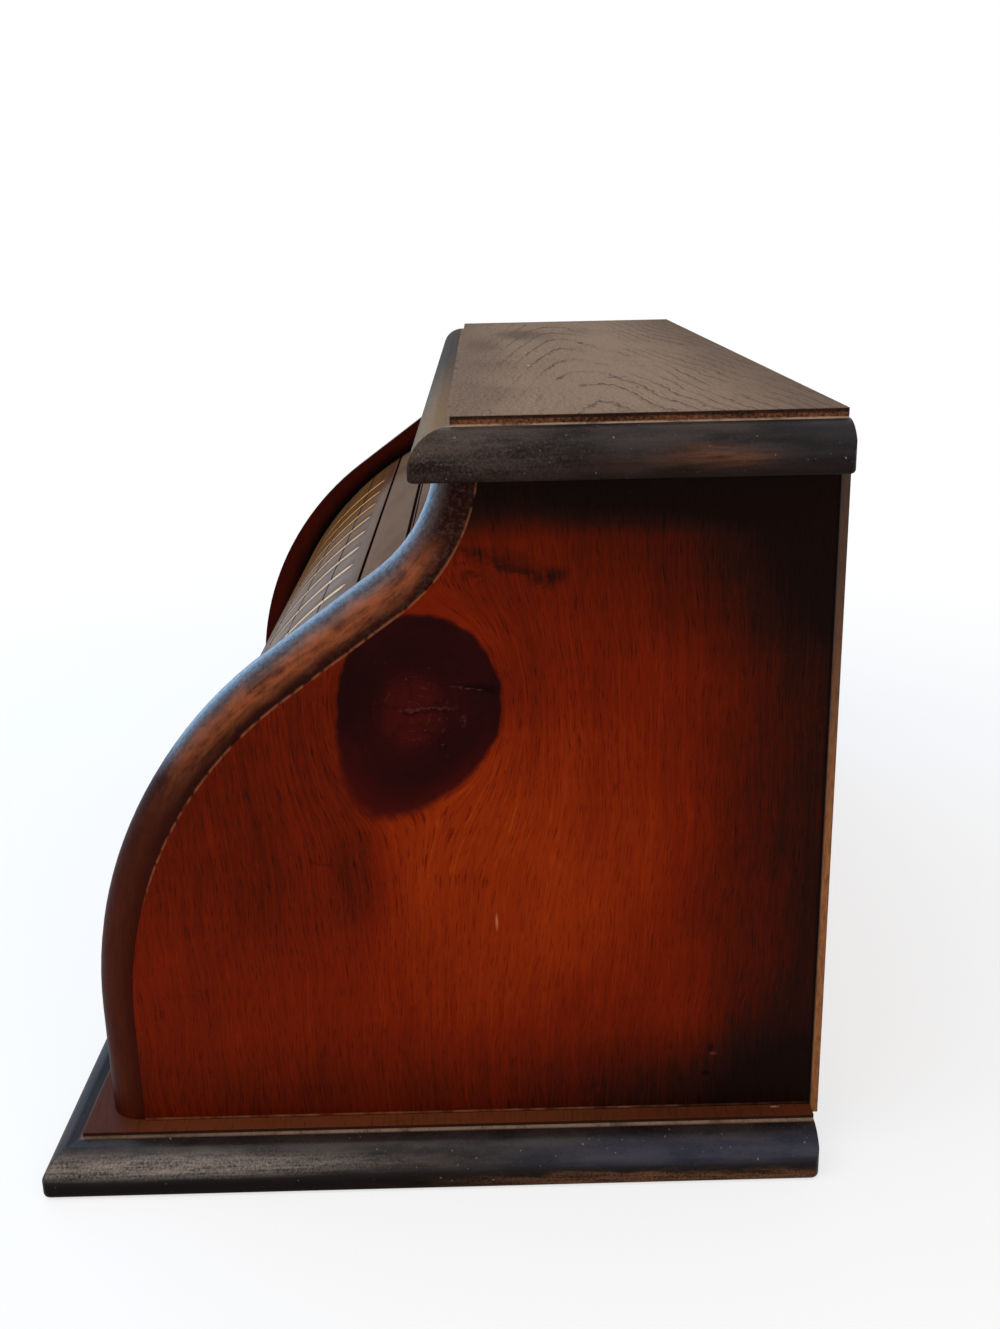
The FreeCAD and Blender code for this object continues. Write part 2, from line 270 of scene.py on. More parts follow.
panel = {
    "knot": (1.5, 178.0),
    "knotReach": (28.0, 31.0, 42.0),  # to the side, up and down
    "swell": 700.0,  # how far the grain bows round the knot, as an area
    "shift": 37.0,  # the other panel is cut further along the same plank
    "fieldFace": 221.95,
    "fieldEdge": 220.9,
    "insideFace": 205.0,
    "filletLine": 14.3,
    "seamHeight": 18.9,
    "gloss": 0.02,
    "rimLacquer": 0.8,
    "woods": [
        (0.0, "0c0302"), (0.16, "280a04"), (0.36, "4a1002"),
        (0.54, "661702"), (0.72, "802604"), (0.9, "a2460f"),
    ],
    "spots": {  # the middle and reach of each mark, along y and z
        "glow": ((30.0, 115.0), (86.0, 86.0)),
        "backCorner": ((137.0, 235.0), (110.0, 62.0)),
        "footCorner": ((137.0, 8.0), (150.0, 58.0)),
        "lowEmber": ((-23.0, 201.0), (12.0, 8.0)),
        "highEmber": ((14.0, 222.0), (12.0, 10.0)),
        "besideKnot": ((30.0, 182.0), (16.0, 22.0)),
        "underKnot": ((-26.0, 120.0), (13.0, 26.0)),
        "bruise": ((21.0, 222.0), (6.0, 4.5)),
        "farBruise": ((48.0, 221.5), (5.0, 3.5)),
        "knotHeart": ((-3.0, -3.0), (15.0, 18.0)),  # from the knot's middle
        "chip": ((16.0, 171.5), (1.6, 3.2)),
        "scratch": ((25.8, 96.0), (0.8, 4.6)),
        "upperDent": ((102.5, 42.8), (1.9, 2.9)),
        "lowerDent": ((101.2, 32.0), (2.6, 1.9)),
        "dentRimHighlight": ((103.6, 40.6), (2.0, 0.9)),
    },
    "tones": {
        "smoke": "1c0d08", "knotDark": "1b0504", "knotLight": "270606", "knotHeart": "440d08",
        "knotFoot": "3a0905", "knotRing": "120303", "crack": "0b0202", "flake": "5c3028", "scratch": "b8653a",
        "dent": "100403", "dentRimHighlight": "6a3f2c", "rimDark": "1a0806", "rimLight": "2c0f09", "rimLow": "380f05",
        "rimWorn": "864628", "rimDust": "6a5648", "plainRim": "1c0a06", "fillet": "80492f", "seam": "80563a",
        # the back edge's dark line and the track's near black are painted shadow
        "backEdgeShadow": "080302", "inside": "240805", "track": "040202", "dust": "86604c",
    },
}


def plankGrain(f, side, y, z):  # the waves of the wood's figure, which flow round the knot
    g = SimpleNamespace(y=y, z=z)
    across, above, below = panel["knotReach"]
    g.dy, g.dz = y - panel["knot"][0], z - panel["knot"][1]
    g.soft = f.sway(y * 0.045, z * 0.045, 4.0, 2.0)
    drop = g.dz.atMost(0.0)
    ovalY = (g.dy + drop * drop * 0.0075) / across
    ovalZ = g.dz / f.choose(g.dz > 0.0, below, above)
    g.oval = f.length(ovalY, ovalZ) + g.soft * 0.12 + f.sway(y * 0.22, z * 0.22, 14.0, 3.0) * 0.07
    reach = (g.dy * g.dy + g.dz * g.dz * 0.6).atLeast(panel["swell"])
    g.flow = g.dy * (1.0 - panel["swell"] / reach) + f.sway(z * 0.012, y * 0.01, 9.0) * 14.0
    g.fine = f.noise(g.flow * 1.25, z * 0.036, side * 0.02, 5.0, 0.62)
    g.silky = f.noise(g.flow * 0.3, z * 0.012, 3.0, 3.0, 0.6)
    g.broad = f.noise(g.flow * 0.07, z * 0.005, 8.0, 2.0)
    g.mottle = f.noise(y * 0.034, z * 0.026, 5.0, 4.0, 0.55)
    g.dashes = f.fade(f.noise(g.flow * 1.9, z * 0.12, 1.0, 3.0, 0.6), 0.55, 0.7)
    g.silkFleck = f.fade(f.noise(g.flow * 0.8, z * 0.16, 7.0, 3.0, 0.7), 0.5, 0.7)
    return g


def knotShade(f, g, shade):  # light and dark round the knot, and the tear above it
    spots = panel["spots"]
    y, z = g.y, g.z
    leftShade = f.fade(y + g.soft * 14.0, -9.0, -23.0) * f.fade(z + g.soft * 30.0, 72.0, 122.0) * 0.1
    shade = shade - leftShade
    halo = f.fade(g.oval, 1.5, 1.1) * f.fade(g.oval, 0.98, 1.08)
    waves = f.sway(g.flow * 0.62, z * 0.016, 2.0, 3.0, 0.55)
    shade = shade + halo * f.fade(z, 138.0, 178.0) * 0.06
    shade = shade + (waves * 0.2 - g.dashes * 0.1) * f.fade(g.oval, 3.4, 1.3)
    ember = f.patch(y, z, *spots["lowEmber"]) + f.patch(y, z, *spots["highEmber"]) * 0.7
    shade = shade + ember.atMost(1.0) * 0.1
    besides = f.patch(y, z, *spots["besideKnot"]) * 0.1
    tail = f.patch(y + (z - 130.0) * 0.2, z, *spots["underKnot"]) * 0.09
    torn = f.fade(f.noise(y * 0.11, z * 0.2, 6.0, 3.0, 0.6), 0.4, 0.58)
    tear = f.near(z - 229.0 + (y - 22.0) * 0.32 + (torn - 0.5) * 4.0, 5.0, 0.2)
    tear = tear * f.near(y - 27.0, 24.0, 15.0) * (0.35 + torn * 0.65)
    bruise = tear * 0.2 + f.patch(y, z, *spots["bruise"]) * torn * 0.28
    bruise = bruise + f.patch(y, z, *spots["farBruise"]) * 0.2
    return shade - besides - tail - bruise


def tonerAndShadow(f, g, y):  # the sprayed toner darkens the back, the corners, the top and the foot; the top also holds a painted shadow under the cap
    z = g.z
    wander = g.soft * 16.0
    back = f.fade(y + wander, 80.0, 144.0) * 0.36
    backCorner = f.patch(y, z, *panel["spots"]["backCorner"]) * 0.17
    footCorner = f.patch(y + wander, z, *panel["spots"]["footCorner"]) * 0.3
    # painted shadow: the dark band under the cap is partly toner and partly the cap's shadow painted on
    top = f.fade(z + (g.fine - 0.5) * 6.0, 231.0, 248.0) * 0.42 + f.fade(z, 180.0, 240.0) * 0.09
    foot = f.fade(z + wander * 0.4, 62.0, 18.0) * 0.15
    return back, backCorner, footCorner, top, foot


def knotPaint(f, g, colour, height):  # the knot with its rings, cracks and flakes
    spots, tones = panel["spots"], panel["tones"]
    y, z, dy, dz, oval = g.y, g.z, g.dy, g.dz, g.oval
    grooves = (oval * 44.0 + g.soft * 16.0).sine()
    ragged = f.sway(y * 0.3, z * 0.3, 6.0, 3.0) * 5.0
    edgeSoft = f.fade(z, 170.0, 140.0, 0.03, 0.075)
    inside = ((1.0 + edgeSoft - oval) / (edgeSoft * 2.0)).atMost(1.0).atLeast(0.0)
    inside = f.fade(inside, 0.0, 1.0)
    speckle = f.noise(y * 0.8, z * 0.8, 12.0, 2.0)
    heart = f.patch(dy, dz, *spots["knotHeart"])
    knot = f.paint(f.fade(g.mottle + g.fine * 0.3, 0.45, 0.85), tones["knotDark"], tones["knotLight"])
    heart = (heart * f.fade(g.mottle + speckle * 0.5, 0.5, 0.95)).atMost(0.5)
    knot = f.paint(heart, knot, tones["knotHeart"])
    knot = f.paint(f.fade(oval, 0.62, 1.0) * f.fade(z, 176.0, 146.0) * 0.8, knot, tones["knotFoot"])
    knot = f.paint((grooves * 0.5 + 0.5) * 0.14, knot, tones["knotRing"])
    colour = f.paint(inside, colour, knot)

    specks = f.fade(f.noise(y * 0.5, z * 0.5, 2.0, 2.0), 0.68, 0.74) * f.fade(oval, 0.85, 0.3)
    crackLine = dz + 3.0 - dy * 0.03 + ragged
    crack = f.near(crackLine, 0.9, 0.2) * f.near(dy - 2.5, 10.5, 7.0)
    splitLine = dz - 5.0 + (dy - 20.0) * 0.16 + ragged * 0.6
    splitWidth = f.fade(dy, 9.0, 25.0, 0.3, 1.9)
    split = f.fade(abs(splitLine) - splitWidth * 0.6, 1.5, -0.6) * f.near(dy - 20.0, 9.0, 4.0)
    rays = f.fade((f.bearing(dy + 3.0, dz + 3.0) * 5.0 + ragged * 0.9).sine(), 0.8, 0.98)
    fromHeart = f.length(dy + 3.0, dz + 3.0)
    rays = rays * f.fade(fromHeart, 15.0, 9.0) * f.fade(fromHeart, 3.0, 6.0)
    flake = f.near(crackLine - 1.0, 0.7, 0.1) * f.near(dy - 3.0, 11.0, 6.0)
    flake = flake + f.near(splitLine + 0.6, 0.5, 0.1) * f.near(dy - 16.0, 7.0, 4.0)
    flake = flake + f.patch(y, z, *spots["chip"]) * 0.8
    rings = f.fade((fromHeart * 2.1 + ragged * 0.5).sine(), 0.7, 0.97) * f.fade(fromHeart, 17.0, 9.0)
    flake = flake + rings * f.fade(f.noise(y * 0.35, z * 0.35, 21.0, 2.0), 0.48, 0.62) * 0.6
    colour = f.paint((crack * 0.5 + split * 0.7 + rays * 0.3).atMost(0.85), colour, tones["crack"])
    flaked = (flake * f.fade(speckle, 0.36, 0.62) * 0.42 + specks * 0.4) * inside
    colour = f.paint(flaked, colour, tones["flake"])
    height = height * (1.0 - inside * 0.7) + inside * (grooves * 0.06 + flake * 0.3)
    return colour, height - crack * 0.6 - split * 0.5 - rays * 0.2


def dentPaint(f, g, colour, height):  # a scratch, two dents with a painted highlight on a rim beside them, and a curled mark
    spots, tones = panel["spots"], panel["tones"]
    y, z = g.y, g.z
    scratch = f.patch(y, z, *spots["scratch"])
    dents = f.patch(y, z, *spots["upperDent"]) + f.patch(y, z, *spots["lowerDent"])
    curl = f.near(f.length(y + 33.0, z - 128.5) - 9.0, 0.9, 0.2) * f.fade(z + y * 0.3, 111.5, 109.0)
    colour = f.paint(scratch * 0.75, colour, tones["scratch"])
    colour = f.paint((dents + curl * 0.45).atMost(1.0) * 0.75, colour, tones["dent"])
    # painted highlight: a lighter rim beside the dents
    colour = f.paint(f.patch(y, z, *spots["dentRimHighlight"]) * 0.35, colour, tones["dentRimHighlight"])
    return colour, height - dents * 1.5 - scratch


def panelFinish(name, knotted):
    tones = panel["tones"]
    f = Finish(name)
    x, y, z = f.place()
    side = abs(x)
    g = plankGrain(f, side, y if knotted else y + panel["shift"], z)
    fine, soft = g.fine, g.soft

    shade = 0.5
    for wave, share in ((fine, 0.27), (g.silky, 0.13), (g.broad, 0.12), (g.mottle, 0.2)):
        shade = shade + (wave - 0.5) * share
    shade = shade - g.dashes * 0.13 + g.silkFleck * 0.05
    shade = shade + f.patch(y, z, *panel["spots"]["glow"]) * 0.18
    if knotted:
        shade = knotShade(f, g, shade)
    for darker in tonerAndShadow(f, g, y):
        shade = shade - darker
    colour = f.ramp(shade, panel["woods"])
    colour = f.paint(f.fade(shade, 0.34, 0.12) * 0.35, colour, tones["smoke"])
    height = (fine - 0.5) * 0.5 - g.dashes * 0.5 + (g.broad - 0.5) * 0.3
    if knotted:
        colour, height = knotPaint(f, g, colour, height)
        colour, height = dentPaint(f, g, colour, height)

    # rounded front edge: dark toner, worn brown along the middle of the round
    edge = edgeDistance(f, y, z)
    field = f.fade(side, panel["fieldFace"] - 0.6, panel["fieldFace"])
    rubbed = f.noise(y * 0.11, z * 0.11, side * 0.1, 4.0, 0.6)
    speckled = f.noise(y * 0.6, z * 0.6, side * 0.6, 5.0, 0.72)
    combed = f.noise((y + z) * 0.07, edge * 0.6, side * 0.3, 4.0, 0.62)
    streak = f.near(edge - 6.9 + (rubbed - 0.5) * 6.0, 6.4, 0.5)
    streak = streak * f.fade(z, 132.0, 184.0, 0.1, 1.0) * f.fade(z, 238.0, 222.0)
    streak = streak * f.fade(rubbed * 0.4 + combed * 0.6, 0.24, 0.68)
    rimColour = f.paint(fine, tones["rimDark"], tones["rimLight"])
    rimColour = f.paint(f.fade(z, 170.0, 90.0) * 0.8, rimColour, tones["rimLow"])
    rimColour = f.paint(streak.atMost(0.9), rimColour, tones["rimWorn"])
    dusty = f.fade(speckled, 0.46, 0.66) * f.fade(z, 172.0, 236.0)
    rimColour = f.paint(dusty * 0.22, rimColour, tones["rimDust"])
    if not knotted:
        rimColour = f.paint(0.5, rimColour, tones["plainRim"])
    rim = (1.0 - field) * (side > panel["insideFace"])
    colour = f.paint(rim, colour, rimColour)

    # the fillet's bright line, the dusty seam on the base, a painted shadow line on the back edge, and the
    # face towards the track with painted shadow and grime by the tambour
    broken = f.fade(f.noise(y * 0.25, z * 0.25, 11.0, 3.0), 0.36, 0.56)
    line = f.near(edge - panel["filletLine"], 0.6, 0.1) * broken
    line = line * f.fade(z, 100.0, 120.0) * (side > panel["fieldEdge"])
    colour = f.paint(line * 0.8, colour, tones["fillet"])
    seam = f.near(z - panel["seamHeight"], 0.6, 0.2) * field
    seam = seam * f.fade(f.noise(y * 0.12, 7.0, 3.0, 3.0), 0.35, 0.65, 0.15, 0.7)
    seam = seam * f.fade(y, 110.0, 60.0, 0.3, 1.0)
    colour = f.paint(seam, colour, tones["seam"])
    inner = side < panel["insideFace"]
    # painted shadow: a dark line along the back edge, where the panel meets the ply
    colour = f.paint(f.fade(y, 138.4, 139.6) * 0.8, colour, tones["backEdgeShadow"])
    colour = f.paint(inner * 0.75, colour, tones["inside"])
    # painted shadow and grime: the inside face goes near black where it meets the tambour
    fromTrack = f.length(y - track["y"], z - track["z"])
    colour = f.paint(inner * f.fade(fromTrack + soft * 2.0, 176.5, 168.5), colour, tones["track"])
    dust = f.fade(f.noise(g.y * 0.9, z * 0.9, side, 2.0), 0.72, 0.8)
    colour = f.paint(dust * 0.16, colour, tones["dust"])
    roughness = 0.38 + (fine - 0.5) * 0.16 + rim * 0.04 + dust * 0.2
    lacquer = rim * f.fade(edge + (speckled - 0.5) * 6.0, 7.2, 2.6)
    lacquer = lacquer * f.fade(z + (rubbed - 0.5) * 16.0, 148.0, 168.0)
    lacquer = lacquer * f.fade(speckled, 0.32, 0.6, 0.5, 1.0) * panel["rimLacquer"]
    return f.surface(
        colour, roughness, height, 0.00022,
        Specular_IOR_Level=panel["gloss"], Coat_Weight=lacquer, Coat_Roughness=0.32)


wear(panelFinish("knottyPanel", True), "side_panel_right")
wear(panelFinish("plainPanel", False), "side_panel_left")
print("end panels finished")


# base and cap: flat-sawn boards, arched figure on the face, dark moulded edges
capBoard = {
    "heart": 66.0,  # where the figure's arches are centred, along y
    "lean": 0.1,
    "apart": 5.6,
    "round": 20.0,
    "face": "826b58",
    "line": "3a2a1f",
    "figure": 0.85,
    "wall": "7c4c32",
    "thread": "b0957c",
    "level": 274.4,  # heights of the face, the lip under it and the underside
    "lip": 271.4,
    "bottom": 255.5,
    "ends": 227.6,  # where the moulding starts, to the sides and in front
    "front": 14.7,
    "polish": 0.26,
    "spots": {  # the middle and reach of each mark: on the face along x and y, on the moulding along y and z
        "smudge": ((-120.0, 46.0), (60.0, 22.0)),
        "longSmudge": ((-50.0, 26.0), (70.0, 14.0)),
        "bare": ((165.0, 76.0), (60.0, 15.0)),
        "frontPit": ((211.0, 61.0), (2.4, 1.1)),
        "middlePit": ((156.0, 81.0), (2.8, 1.0)),
        "backPit": ((216.0, 96.0), (2.0, 0.9)),
        "paleChip": ((61.0, 45.0), (2.2, 1.0)),
        "scrape": ((97.0, 262.0), (27.0, 5.4)),
        "smallScrape": ((70.0, 260.5), (20.0, 4.4)),
    },
}
baseBoard = {
    "heart": -118.0,
    "lean": 0.04,
    "apart": 5.0,
    "round": 20.0,
    "face": "5c2b16",
    "line": "240f08",
    "figure": 0.25,
    # painted shade: the base's wall under the field is this dark as shadow
    "wall": "24110a",
    "thread": "8e7460",
    "level": 18.2,
    "lip": 16.5,
    "bottom": 0.0,
    "ends": 228.6,
    "front": -126.9,
    "polish": 0.34,
    "spots": {
        "fleck": ((126.5, 223.2), (2.2, 0.6)),
        "dustAndHighlightBand": ((-100.0, 10.6), (112.0, 5.0)),
    },
}
boardTones = {
    "smudge": "38281d", "grit": "3c2c20", "sand": "a08c78", "bare": "8e6a4c", "pit": "1a0f09",
    "chip": "c8b49a", "dust": "9a846c", "worn": "47342a", "baseGrit": "7c4c30", "baseShade": "2a1209",
    "fleck": "a88c74", "mouldDark": "100a09", "mouldLight": "251c1a", "mouldBrown": "3a2820",
    "mouldBlack": "0a0504", "mouldGrit": "46362e", "capBlueSheen": "0e0d12", "frontDark": "2a1c12",
    "frontLight": "7c6244", "scrapeDark": "46291d", "scrapeLight": "5e3a25", "cornerDust": "54443a",
    "capLow": "1c100b", "baseBlueSheen": "1a2440", "baseLow": "0d0706", "foot": "62402a", "dustAndHighlightBand": "8e8076",
    "baseFront": "1e0f0a", "speck": "8c7e74", "lipDark": "4a3426", "wallDark": "2a170e",
    "wallTopShadow": "0c0705",
}


def boardGrain(f, board, x, y, z):  # flat-sawn figure: latewood lines arched about the board's heart
    g = SimpleNamespace(x=x, y=y, z=z, outward=abs(x))
    g.sway = f.sway(x * 0.009, y * 0.03, 2.0, 3.0, 0.55)
    level = f.length(y - board["heart"] + g.sway * 10.0, board["round"]) - x * board["lean"] + g.sway * 8.0
    level = level + (z - board["level"]) * 0.8 + f.sway(x * 0.11, y * 0.4, 6.0, 2.0) * 2.4
    turn = (level / board["apart"]).fraction()
    latewood = f.fade(turn, 0.82, 0.93) * f.fade(turn, 1.0, 0.96)
    half = (level / board["apart"] * 2.0 + 0.4).fraction()
    g.latewood = latewood + f.fade(half, 0.84, 0.93) * f.fade(half, 1.0, 0.96) * f.fade(y, 62.0, 90.0) * 0.6
    g.shown = f.fade(f.noise(x * 0.012, y * 0.03, 5.0, 3.0), 0.36, 0.56)
    g.pores = f.fade(f.noise(x * 0.12, y * 1.7, z * 1.7, 2.0), 0.6, 0.72)
    g.fibre = f.noise(x * 0.05, y * 1.1, z * 1.1, 4.0, 0.65)
    g.cloud = f.noise(x * 0.012, y * 0.024, z * 0.024, 3.0)
    g.grit = f.noise(x * 1.1, y * 1.1, z * 1.1, 4.0, 0.75)
    return g


def capFace(f, g, face):  # sandy dirt, a smudge, a bare patch and pits on the cap's face
    spots, tones = capBoard["spots"], boardTones
    x, y, grit = g.x, g.y, g.grit
    smudge = f.patch(x, y, *spots["smudge"]) + f.patch(x, y, *spots["longSmudge"]) * 0.6
    face = f.paint(smudge.atMost(1.0) * 0.7 * (0.4 + grit), face, tones["smudge"])
    sandy = f.noise(x * 0.42, y * 0.8, 4.0, 3.0, 0.7)
    dirty = f.fade(sandy * 0.6 + grit * 0.4, 0.44, 0.6)
    dirty = dirty * f.fade(y + x * 0.06 + g.sway * 60.0, 110.0, 24.0, 0.25, 1.0)
    face = f.paint(dirty * 0.5, face, tones["grit"])
    face = f.paint(f.fade(sandy, 0.46, 0.3) * 0.3, face, tones["sand"])
    bare = f.patch(x, y, *spots["bare"]) * f.fade(g.sway, -0.1, 0.1)
    face = f.paint(bare * 0.15, face, tones["bare"])
    pits = f.patch(x, y, *spots["frontPit"]) + f.patch(x, y, *spots["middlePit"])
    pits = pits + f.patch(x, y, *spots["backPit"])
    pits = pits + f.near(x - 120.0 + (y - 76.0) * 0.4, 2.2, 0.6) * f.near(y - 77.0, 6.0, 3.0) * 0.6
    face = f.paint(pits.atMost(1.0) * 0.8, face, tones["pit"])
    face = f.paint(f.patch(x, y, *spots["paleChip"]), face, tones["chip"])
    face = f.paint(f.fade(grit, 0.58, 0.78) * 0.3, face, tones["dust"])
    cloudy = g.cloud - 0.5
    worn = f.fade(y + cloudy * 50.0, 96.0, 138.0) + f.fade(y + cloudy * 30.0, 44.0, 18.0) * 0.6
    return f.paint(worn.atMost(1.0) * 0.6, face, tones["worn"])


def baseFace(f, g, face):  # the base's face is darker at the back and in front, with one pale fleck
    tones = boardTones
    y = g.y
    face = f.paint(f.fade(g.grit, 0.56, 0.76) * 0.3, face, tones["baseGrit"])
    darker = f.fade(y, 40.0, 120.0) * 0.3 + f.fade(y, -96.0, -118.0) * 0.55
    face = f.paint(darker, face, tones["baseShade"])
    fleck = f.patch(y + (g.grit - 0.5) * 6.0, g.outward + (g.fibre - 0.5) * 2.0, *baseBoard["spots"]["fleck"])
    return f.paint(fleck * (g.x > 0.0) * 0.8, face, tones["fleck"])


def capMould(f, g, mould, rubbed, mitre):  # dusty in front, a painted dark bluish sheen at the back, scraped bare on one end, and how dull it is
    spots, tones = capBoard["spots"], boardTones
    x, y, z, grit = g.x, g.y, g.z, g.grit
    low = f.fade(z + (rubbed - 0.5) * 10.0, capBoard["bottom"] + 6.5, capBoard["bottom"] + 1.5)
    # painted reflection: the side moulding darker and bluish towards the back
    mould = f.paint(f.fade(y, 96.0, 140.0) * (1.0 - mitre) * 0.6, mould, tones["capBlueSheen"])
    front = mitre * f.fade(z, capBoard["bottom"] + 4.0, capBoard["bottom"] + 12.0)
    dusty = f.fade(grit * 0.9 + (x - 90.0) * 0.0014, 0.25, 0.65)
    mould = f.paint(front * 0.8, mould, f.paint(dusty, tones["frontDark"], tones["frontLight"]))
    grain = f.fade(f.noise(y * 0.05, z * 0.6, x * 0.05, 5.0, 0.7), 0.36, 0.66)
    scrape = f.patch(y + (z - 262.0) * 0.8, z, *spots["scrape"])
    scrape = scrape + f.patch(y, z, *spots["smallScrape"]) * 0.5
    scrape = (scrape * (0.15 + grain * 0.75) * (x > 0.0)).atMost(0.64)
    scraped = f.paint(f.fade(y, 70.0, 100.0), tones["scrapeDark"], tones["scrapeLight"])
    mould = f.paint(scrape, mould, scraped)
    cornerDust = f.fade(y + (rubbed - 0.5) * 40.0, 70.0, 10.0) * (1.0 - mitre)
    dusting = cornerDust * f.fade(grit * 0.6 + rubbed * 0.5, 0.44, 0.68) * 0.55
    mould = f.paint(dusting, mould, tones["cornerDust"])
    mould = f.paint(low * 0.5, mould, tones["capLow"])
    return mould, (scrape * 0.7 + cornerDust * 0.6).atMost(0.8)


def baseMould(f, g, mould, rubbed, combed, mitre):  # a painted bluish sheen, rubbed foot, a band of dust and painted highlight on the ends
    tones = boardTones
    y, z, grit = g.y, g.z, g.grit
    side = 1.0 - mitre
    # painted reflection: a bluish sheen along the middle of the round towards the back
    blueSheen = f.near(z - 10.5 + (rubbed - 0.5) * 4.0, 6.0, 2.0) * f.fade(y, 0.0, 80.0) * side
    mould = f.paint(blueSheen * 0.35, mould, tones["baseBlueSheen"])
    mould = f.paint(f.fade(z + (combed - 0.5) * 3.0, 10.5, 5.0) * 0.92, mould, tones["baseLow"])
    foot = f.fade(z + (rubbed - 0.5) * 14.0, 6.6, 3.0)
    foot = foot * f.fade(y + (rubbed - 0.5) * 110.0, -20.0, 60.0) * side
    mould = f.paint(foot * f.fade(combed * 0.5 + grit * 0.5, 0.36, 0.6) * 0.9, mould, tones["foot"])
    # dust and painted highlight: a pale band along the round at the front-left
    band = f.patch(y, z, *baseBoard["spots"]["dustAndHighlightBand"]) * side
    mould = f.paint(band * 0.75 * f.fade(grit * 0.7 + combed * 0.6, 0.46, 0.8), mould, tones["dustAndHighlightBand"])
    mould = f.paint(mitre * 0.5, mould, tones["baseFront"])
    return mould, mitre * 0.85


def boardFinish(name, board, dusting):
    tones = boardTones
    f = Finish(name)
    x, y, z = f.place()
    g = boardGrain(f, board, x, y, z)
    grit = g.grit
    if dusting:
        g.shown = g.shown * f.fade(y + g.sway * 20.0, 20.0, 58.0, 0.15, 1.0)
    figure = (g.latewood * g.shown).atMost(1.0) * board["figure"]
    face = f.paint(f.fade(g.cloud * 0.6 + g.fibre * 0.5, 0.32, 0.6), board["line"], board["face"])
    face = f.paint(0.6, face, board["face"])
    face = f.paint(figure, face, board["line"])
    face = f.paint(g.pores * 0.3, face, board["line"])
    face = capFace(f, g, face) if dusting else baseFace(f, g, face)

    # moulding: toned almost black, its own grain along the edge, rubbed brown low down
    mitre = f.fade((board["front"] - y) - (g.outward - board["ends"]), -0.8, 0.8) * (y < board["front"] + 1.0)
    run = f.choose(mitre, y, x)
    rubbed = f.noise(run * 0.03, z * 0.16, mitre * 9.0, 5.0, 0.62)
    combed = f.noise(run * 0.045, z * 0.9, mitre * 5.0, 5.0, 0.68)
    mould = f.paint(f.fade(rubbed, 0.36, 0.64), tones["mouldDark"], tones["mouldLight"])
    mould = f.paint(f.fade(combed, 0.48, 0.74) * 0.3, mould, tones["mouldBrown"])
    mould = f.paint(f.fade(combed, 0.46, 0.32) * 0.3, mould, tones["mouldBlack"])
    mould = f.paint(f.fade(grit, 0.5, 0.72) * 0.38, mould, tones["mouldGrit"])
    if dusting:
        mould, dulled = capMould(f, g, mould, rubbed, mitre)
    else:
        mould, dulled = baseMould(f, g, mould, rubbed, combed, mitre)
    specks = f.fade(f.noise(x * 0.7, y * 0.7, z * 0.7, 1.0), 0.75, 0.8)
    mould = f.paint(specks * 0.5, mould, tones["speck"])

    # the lip holds a broken thread of dust and painted highlight; the wall above is painted dark as shade
    onFace = f.fade(z, board["level"] - 0.25, board["level"] - 0.05)
    lipZone = f.fade(z, board["lip"] - 0.12, board["lip"] - 0.02)
    thread = f.fade(f.noise(run * 0.08, z * 0.3, 4.0, 4.0, 0.6) * 0.7 + grit * 0.4, 0.36, 0.6)
    thread = thread * (1.0 - mitre * 0.6) * f.fade(y, -110.0, -30.0, 0.45 + dusting, 1.0) * 0.8
    lipDustAndHighlight = f.paint(thread, tones["lipDark"], board["thread"])
    # painted shade: the wall under the field is darkened, with a painted shadow line at its top on the cap
    wall = f.fade(z, board["lip"] + 0.15, board["lip"] + 0.5)
    shadedWall = f.paint(f.fade(grit * 0.7 + rubbed * 0.4, 0.42, 0.72), tones["wallDark"], board["wall"])
    wallTopShadow = f.fade(z, board["level"] - 1.6, board["level"] - 0.9) * dusting * 0.8
    shadedWall = f.paint(wallTopShadow, shadedWall, tones["wallTopShadow"])
    colour = f.paint(lipZone, mould, lipDustAndHighlight)
    colour = f.paint(wall, colour, shadedWall)
    colour = f.paint(onFace, colour, face)

    roughness = 0.46 + (grit - 0.5) * 0.2 + onFace * (0.06 + 0.2 * dusting)
    roughness = roughness + mitre * (1.0 - onFace) * dusting * 0.2
    height = (g.fibre - 0.5) * 0.35 - g.pores * 0.6 - figure * 0.6 * onFace
    height = height + (grit - 0.5) * (0.3 + 0.3 * dusting)
    polish = (1.0 - onFace) * (1.0 - wall) * (1.0 - mitre * dusting * 0.85) * (1.0 - dulled)
    polish = polish * f.fade(z, board["bottom"] + 3.5, board["bottom"] + 10.5, 0.03, 1.0)
    polish = polish * f.fade(rubbed, 0.3, 0.6, 0.5, 1.0) * board["polish"]
    return f.surface(
        colour, roughness, height, 0.00025, Specular_IOR_Level=0.04, Coat_Weight=polish, Coat_Roughness=0.34)


# the worn outline of each board, in metres: a block with round uprights and a round bottom arris
easing = {
    "base_board": {
        "board": baseBoard,
        "dusting": 0.0,
        "low": (-0.24172, -0.14002, -0.00002),
        "high": (0.24172, 0.14002, 0.03),
        "corner": 0.003,
        "arris": 0.0018,
        "flat": 0.003,
    },
    "top_cap": {
        "board": capBoard,
        "dusting": 1.0,
        "low": (-0.24112, 0.00113, 0.25548),
        "high": (0.24112, 0.14002, 0.29),
        "corner": 0.0026,
        "arris": 0.0014,
        "flat": 0.0,
    },
}


